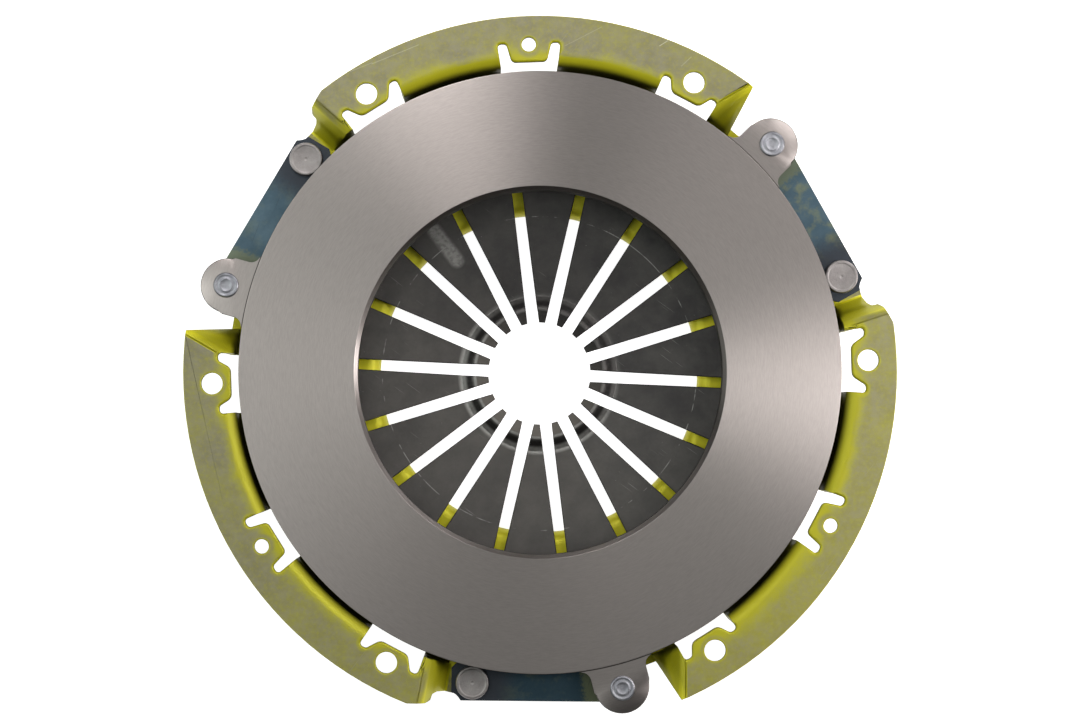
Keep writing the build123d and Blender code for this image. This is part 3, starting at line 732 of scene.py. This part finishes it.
def fingerLine():  # the finger's middle line, as radius and level
    p = finger
    slope = math.tan(math.radians(p["cone"]))
    valleyLevel = p["fulcrumLevel"] - (p["fulcrum"] - p["valley"]) * slope
    corners = [(p["outer"], p["fulcrumLevel"] + (p["outer"] - p["fulcrum"]) * slope), (p["valley"], valleyLevel),
               (p["crest"], valleyLevel + p["rise"]), (p["tip"], valleyLevel + p["rise"] - p["drop"])]
    bent = roundedPath(corners, p["bend"], steps=7)
    line = []
    for start, end in zip(bent, bent[1:]):
        run = (end - start).length
        parts = max(1, round(run / p["step"])) if run > p["longRun"] else 1
        line += [start.lerp(end, i / parts) for i in range(parts)]
    return line + [bent[-1]]


def fingerLoop(spot, up, pull):  # one section across the finger
    p = finger
    half, edge, last = p["sheet"] / 2, p["edge"], p["columns"] - 1
    reach = fingerEdge(spot.x)
    row = [(reach - edge / spot.x) * (2 * k / last - 1) for k in range(p["columns"])]
    loop = [(a, half) for a in row] + [(reach, half - edge), (reach, edge - half)]
    loop += [(a, -half) for a in reversed(row)] + [(-reach, edge - half), (-reach, half - edge)]
    points = []
    for angle, height in loop:
        r, z = spot.x + up.x * height * pull, spot.y + up.y * height * pull
        points.append((r * math.cos(angle) * mm, r * math.sin(angle) * mm, z * mm))
    return points


def fingerMesh():
    line, edge = fingerLine(), finger["edge"]
    ending = 1 - edge / (finger["sheet"] / 2)  # the first and last section are thinner
    loops = []
    for n, spot in enumerate(line):
        along = (line[min(n + 1, len(line) - 1)] - line[max(n - 1, 0)]).normalized()
        up = Vector((along.y, -along.x))
        up = -up if up.y < 0 else up
        if n in (0, len(line) - 1):
            beside = line[1] if n == 0 else line[-2]
            inner = spot.lerp(beside, edge / (beside - spot).length)
            pair = [fingerLoop(spot, up, ending), fingerLoop(inner, up, 1.0)]
            loops += pair if n == 0 else reversed(pair)
        else:
            loops.append(fingerLoop(spot, up, 1.0))
    return meshFrom("fingerShape", [point for loop in loops for point in loop],
                    capped(len(loops), len(loops[0])), sharp=40.0)


def makeFingers():
    shape = fingerMesh()
    for n in range(finger["count"]):
        node = f"finger_{n + 1:02d}"
        piece = growPiece(f"springFinger{n + 1:02d}", ringOfCopies, shape, sharp=40.0, Copies=1, Step=0.0,
                          First=finger["first"] + n * finger["pitch"], Radius=0.0, Material=springDark)
        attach(piece, node)
        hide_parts(node)
    print("fingers:", finger["count"], "of", len(shape.polygons), "faces")


makeFingers()


# Wire fulcrum rings
fulcrumWire = dict(radius=98.0, wire=1.99, front=-24.74, rear=-32.26)  # wire is half its thickness


def makeFulcrumRings():
    for name, node, level in (("frontFulcrumRing", "front_fulcrum_ring", fulcrumWire["front"]),
                              ("rearFulcrumRing", "rear_fulcrum_ring", fulcrumWire["rear"])):
        piece = growPiece(name, wireRing, Radius=fulcrumWire["radius"] * mm, Wire=fulcrumWire["wire"] * mm,
                          Level=level * mm, Material=wireSteel)
        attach(piece, "cover")
        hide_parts(node)
    print("fulcrum rings: 2")


makeFulcrumRings()


# Rivets, each a turned shape set round the axis: radius and rise of its points above each level
rivetSegments = 64
seatRivet = dict(name="strapRivets", body="cover", nodes="strap_rivet_", count=3, circle=134.2, first=135.6,
                 steel=seatRivetSteel, levels=(
                     (-12.7, ((0, -0.34), (0.3, -0.33), (0.7, -0.18), (0.85, -0.16), (1.0, -0.16),
                              (5.4, -0.16), (5.5, -0.15), (5.8, -0.02), (5.9, 0), (6.5, 0), (6.65, -0.03),
                              (6.85, -0.2), (7.0, -0.5), (7.05, -0.9))),
                     (-15.5, ((7.05, 0.25), (6.9, 0), (3.5, 0))),
                     (-22.2, ((3.5, 0), (5.2, 0), (5.2, -1.6), (4.7, -2.2))),
                     (-25.0, ((3.6, 0), (0, 0)))))
earRivet = dict(name="earRivets", body="pressure_ring", nodes="ear_rivet_", count=3, circle=137.3, first=42.5,
                steel=earRivetSteel, levels=(
                    (-3.4, ((0, -0.20), (1.0, -0.18), (2.1, -0.14), (2.35, -0.02), (2.6, 0), (2.9, -0.03),
                            (3.15, -0.17), (3.9, -0.18), (4.2, -0.08), (4.5, 0), (4.8, -0.05), (5.1, -0.28),
                            (5.3, -0.6))),
                    (-4.4, ((5.3, 0.12), (5.15, 0), (3.0, 0))),
                    (-18.2, ((3.0, 0), (4.6, 0), (4.6, -1.3), (4.1, -1.9))),
                    (-20.6, ((3.1, 0), (0, 0)))))
pivotRivet = dict(name="pivotRivets", body="cover", nodes="pivot_rivet_", count=9, circle=90.95, first=15.0,
                  steel=wireSteel, levels=(
                      (-19.71, ((0, 0), (7.4, 0), (8.2, -0.3), (8.7, -0.9), (8.8, -1.5))),
                      (-22.71, ((8.8, 0.3), (8.5, 0), (5.0, 0))),
                      (-34.29, ((5.0, 0), (4.0, 0))),
                      (-38.29, ((4.0, 0), (6.85, 0), (7.0, -0.15), (7.0, -1.1), (6.3, -1.9))),
                      (-40.89, ((4.8, 0.1), (2.6, 0), (2.0, 0.25), (0, 0.3)))))


def makeRivets():
    for p in (seatRivet, earRivet, pivotRivet):
        profile = [(radius, level + rise) for level, points in p["levels"] for radius, rise in points]
        shape = latheMesh(p["name"] + "Shape", profile, rivetSegments, closed=False)
        piece = growPiece(p["name"], ringOfCopies, shape, sharp=38.0, Copies=p["count"], Step=360.0 / p["count"],
                          First=p["first"], Radius=p["circle"] * mm, Material=p["steel"])
        body, nodes = p["body"], [f"{p['nodes']}{n + 1}" for n in range(p["count"])]
        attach(piece, body)
        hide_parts(*nodes)
    print("rivets: 15")


makeRivets()


# Drive straps: stacks of three leaves between seat and ear
strap = dict(width=16.0, leaf=0.88, pitch=0.90, top=-15.5, overhang=8.9, notchLong=3.9, notchWide=3.3,
             scallop=0.8, inner=2.2, offset=1.4, seatHeading=-45.6, seatR=133.9, earHeading=-72.5, earR=137.3,
             edge=0.14, heldBySeat=7.0, heldByEar=10.0, leaves=3, pieces=44,
             corner=(0.0, 0.45, 0.9, 1.35, 1.8, 2.2, 2.6, 3.0, 3.5, 3.9))


def strapSides(short):  # the strap's outer and inner edge at a distance from its end
    p = strap
    share = min(short / p["notchLong"], 1.0)
    outer = p["width"] / 2 - p["notchWide"] * (1 - share) - 4 * p["scallop"] * share * (1 - share)
    inner = p["width"] / 2 - max(0.0, p["inner"] - short)
    return -outer, inner


def strapMesh():  # also two places on the strap's middle line, held in from the seat and from the ear
    p = strap
    seat, ear = around(p["seatHeading"], p["seatR"]), around(p["earHeading"], p["earR"])
    span = (ear - seat).length / mm
    run = math.sqrt(span ** 2 - p["offset"] ** 2)
    aim = math.atan2(ear.y - seat.y, ear.x - seat.x) + math.atan2(p["offset"], run)
    ahead, left = Vector((math.cos(aim), math.sin(aim), 0)), Vector((-math.sin(aim), math.cos(aim), 0))
    near, far, corner = -p["overhang"], run + p["overhang"], p["corner"]
    between = far - near - 2 * corner[-1]
    stops = [near + d for d in corner]
    stops += [near + corner[-1] + between * i / p["pieces"] for i in range(1, p["pieces"])]
    stops += [far - d for d in reversed(corner)]
    points, faces = [], []
    for layer in range(p["leaves"]):
        top = p["top"] - layer * p["pitch"]
        low, e, base = top - p["leaf"], p["edge"], len(points)
        for x in stops:
            outer, inner = strapSides(min(x - near, far - x))
            loop = ((outer + e, top), (outer / 2, top), (0, top), (inner / 2, top), (inner - e, top),
                    (inner, top - e), (inner, low + e), (inner - e, low), (0, low), (outer + e, low),
                    (outer, low + e), (outer, top - e))
            for y, z in loop:
                spot = seat + ahead * (x * mm) + left * (y * mm)
                points.append((spot.x, spot.y, z * mm))
        faces += capped(len(stops), len(loop), base)
    start = seat + ahead * (p["heldBySeat"] * mm)
    end = seat + ahead * ((run - p["heldByEar"]) * mm)
    start.z = end.z = (p["top"] - p["leaves"] / 2 * p["pitch"]) * mm
    return meshFrom("strapShape", points, faces), start, end


def makeStraps():
    shape, start, end = strapMesh()
    for n in range(3):
        turn = math.radians(-120.0 * n)
        piece = growPiece(f"driveStraps{n + 1}", ringOfCopies, shape, sharp=35.0, Copies=1, Step=0.0,
                          First=-120.0 * n, Radius=0.0, Material=strapBlue)
        first, last = start.copy(), end.copy()
        for spot in (first, last):
            spot.xy = (spot.x * math.cos(turn) - spot.y * math.sin(turn),
                       spot.x * math.sin(turn) + spot.y * math.cos(turn))
        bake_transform(piece)
        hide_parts(*[f"strap_{n + 1}_leaf_{k}" for k in (1, 2, 3)])
    print("strap stacks: 3")


makeStraps()


# Floor: it glows for what looks at it straight or by reflection, and keeps the shadow
floorPiece = dict(size=12.0, tone=srgb(246, 246, 246), roughness=0.9, glow=0.95)


def makeFloor():
    mesh = bpy.data.meshes.new("floor")
    half, level = floorPiece["size"] / 2, cadBox[0][2]
    corners = [(-half, -half, level), (half, -half, level), (half, half, level), (-half, half, level)]
    mesh.from_pydata(corners, [], [(0, 1, 2, 3)])
    material = bpy.data.materials.new("paleFloor")
    material.use_nodes = True
    tree = material.node_tree
    shader = tree.nodes["Principled BSDF"]
    setInputs(tree, shader, {"Base Color": floorPiece["tone"], "Roughness": floorPiece["roughness"]})
    rays = addNode(tree, "ShaderNodeLightPath")
    seen = larger(larger(rays["Is Camera Ray"], rays["Is Glossy Ray"]), rays["Is Transmission Ray"])
    glow = addNode(tree, "ShaderNodeEmission", {"Color": (1, 1, 1, 1), "Strength": seen * floorPiece["glow"]})
    both = addNode(tree, "ShaderNodeAddShader", {0: Signal(tree, shader.outputs[0]), 1: glow[0]})
    setInputs(tree, tree.nodes["Material Output"], {"Surface": both[0]})
    piece = newPiece("floor", mesh, material)


# Lamps: place, width and height, watts, tint; each looks at the middle of the part
warm, cool = (1.0, 0.985, 0.97), (0.94, 1.0, 0.965)
lamps = dict(right=((0.465, -0.033, 0.378), (0.15, 0.72), 1.38, warm),
             rightLow=((0.529, -0.028, 0.282), (0.12, 0.6), 0.65, warm),
             top=((-0.102, 0.355, 0.473), (0.15, 0.29), 0.76, warm),
             upRight=((0.488, 0.488, 0.579), (0.5, 0.5), 2.76, warm),
             leftHigh=((-0.756, 0.128, 1.402), (1.2, 0.98), 4.4, cool),
             left=((-0.678, 0.0, 0.424), (0.4, 0.5), 1.2, cool),
             over=((0.0, 0.031, 1.8), (0.8, 0.8), 0.84, cool))


def makeLamps():
    for name, (place, size, power, tint) in lamps.items():
        light = bpy.data.lights.new(name, "AREA")
        light.shape = "RECTANGLE"
        light.size, light.size_y = size
        light.energy, light.color = power, tint
        lamp = newObject(name, light)
        lamp.location = place
        lamp.rotation_euler = (-Vector(place)).to_track_quat("-Z", "Y").to_euler()
        lamp.visible_camera = False


studio = dict(room=0.025, backdrop=1.0)


def makeWorld():  # a dim room round a white backdrop
    world = bpy.data.worlds.new("studio")
    bpy.context.scene.world = world
    world.use_nodes = True
    tree = world.node_tree
    room, backdrop = [(studio[key],) * 3 + (1,) for key in ("room", "backdrop")]
    shown = blend(addNode(tree, "ShaderNodeLightPath")["Is Camera Ray"], room, backdrop)
    setInputs(tree, tree.nodes["Background"], {"Color": shown})


view = dict(pixel=0.42, wide=1080, high=720, distance=1600.0, lean=(-0.0155, -0.025), roll=2.06,
            middleX=540.6, middleY=371.8, sensor=36.0)


def makeCamera():
    p = view
    roll = math.radians(p["roll"])
    upward = Vector((math.sin(roll), math.cos(roll), 0))
    rightward = Vector((math.cos(roll), -math.sin(roll), 0))
    aim = (upward * (p["middleY"] - p["high"] / 2) - rightward * (p["middleX"] - p["wide"] / 2)) * p["pixel"] * mm
    away = (rightward * p["lean"][0] + upward * p["lean"][1] + Vector((0, 0, 1))).normalized()
    side = upward.cross(away).normalized()
    top = away.cross(side)
    camera = bpy.data.cameras.new("camera")
    camera.sensor_fit = "HORIZONTAL"
    camera.sensor_width = p["sensor"]
    camera.lens = p["sensor"] * p["distance"] / (p["pixel"] * p["wide"])
    camera.clip_end = 20.0
    eye = newObject("camera", camera)
    matrix = eye.matrix_world.copy()
    for row in range(3):
        matrix[row] = (side[row], top[row], away[row], aim[row] + away[row] * p["distance"] * mm)
    eye.matrix_world = matrix
    bpy.context.scene.camera = eye


makeFloor()
makeLamps()
makeWorld()
makeCamera()
bpy.context.scene.view_settings.view_transform = "Standard"
print("stage, lamps and camera set")
